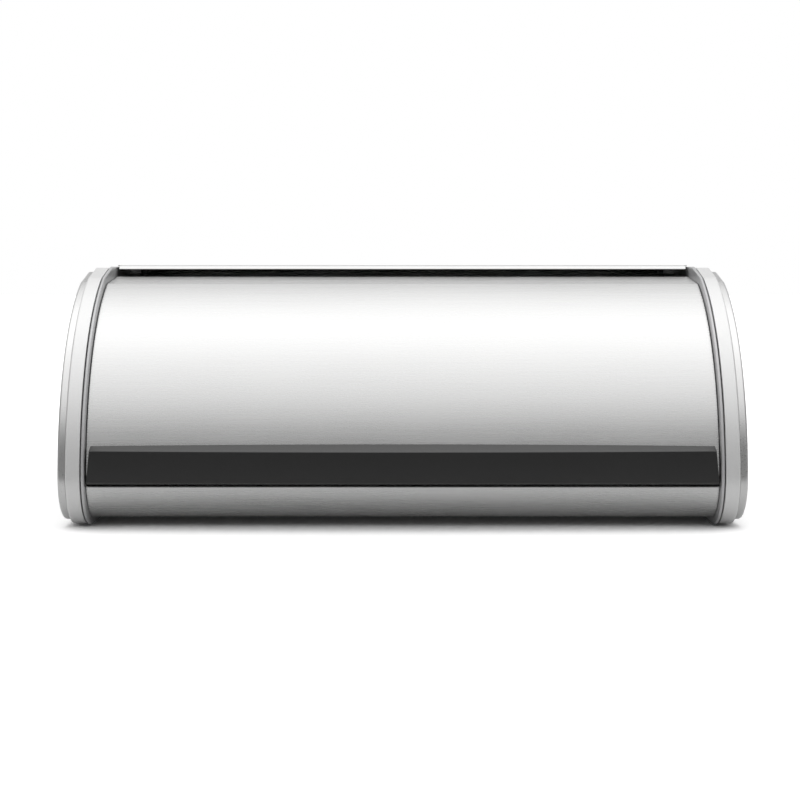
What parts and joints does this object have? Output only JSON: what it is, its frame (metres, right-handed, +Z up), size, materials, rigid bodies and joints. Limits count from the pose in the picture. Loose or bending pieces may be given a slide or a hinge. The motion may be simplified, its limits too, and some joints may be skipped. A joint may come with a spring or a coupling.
{
  "type": "roll-top bread box",
  "caption": "Wide low bread box with rounded satin steel ends, a curved lid that rolls up under a flat top, and a full-width black grip.",
  "frame": {"origin": "on the ground under the middle of the box's bounding box", "axes": "+Z up, the lid and grip face -Y, +X to the right of someone facing the lid"},
  "size_m": [0.445, 0.2698, 0.171],
  "materials": {
    "satin_steel": "fine satin brushed along the width, soft reflections",
    "satin_cover": "fine satin",
    "satin_band": "satin, slightly softer than the sheet steel",
    "grey_moulding": "silver-grey moulding, fine matt texture",
    "black_grip": "semi-matt black moulding",
    "black_rubber": "matt",
    "white_acetal": "natural, slightly waxy",
    "zinc_hardware": "zinc plated, dull"
  },
  "bodies": {
    "housing": {"base_tray": "satin_steel", "left_closed_bumper": "black_rubber", "left_end_band": "satin_band", "left_floor_screw_1": "zinc_hardware", "left_floor_screw_2": "zinc_hardware", "left_foot_front": "black_rubber", "left_foot_rear": "black_rubber", "left_hinge_clip": "zinc_hardware", "left_hinge_pin": "zinc_hardware", "left_hinge_spacer": "white_acetal", "left_inner_panel": "grey_moulding", "left_open_bumper": "black_rubber", "left_panel_screw_1": "zinc_hardware", "left_panel_screw_2": "zinc_hardware", "left_panel_screw_3": "zinc_hardware", "left_panel_screw_4": "zinc_hardware", "left_rear_screw_1": "zinc_hardware", "left_rear_screw_2": "zinc_hardware", "left_side_plate": "satin_cover", "rear_shell": "satin_steel", "right_closed_bumper": "black_rubber", "right_end_band": "satin_band", "right_floor_screw_1": "zinc_hardware", "right_floor_screw_2": "zinc_hardware", "right_foot_front": "black_rubber", "right_foot_rear": "black_rubber", "right_hinge_clip": "zinc_hardware", "right_hinge_pin": "zinc_hardware", "right_hinge_spacer": "white_acetal", "right_inner_panel": "grey_moulding", "right_open_bumper": "black_rubber", "right_panel_screw_1": "zinc_hardware", "right_panel_screw_2": "zinc_hardware", "right_panel_screw_3": "zinc_hardware", "right_panel_screw_4": "zinc_hardware", "right_rear_screw_1": "zinc_hardware", "right_rear_screw_2": "zinc_hardware", "right_side_plate": "satin_cover", "seam_rivet_left": "zinc_hardware", "seam_rivet_middle": "zinc_hardware", "seam_rivet_right": "zinc_hardware"},
    "lid": {"grip_screw_1": "zinc_hardware", "grip_screw_2": "zinc_hardware", "grip_screw_3": "zinc_hardware", "grip_screw_4": "zinc_hardware", "handle_grip": "black_grip", "left_hinge_bush": "white_acetal", "left_lid_side": "grey_moulding", "lid_edge_rail": "black_grip", "lid_sheet": "satin_steel", "right_hinge_bush": "white_acetal", "right_lid_side": "grey_moulding"}
  },
  "joints": [
    {"name": "lid_hinge", "type": "hinge", "parent": "housing", "child": "lid", "pos_m": [0, 0.0166, 0.023], "axis": [-1, 0, 0], "range_deg": [0, 56]}
  ]
}
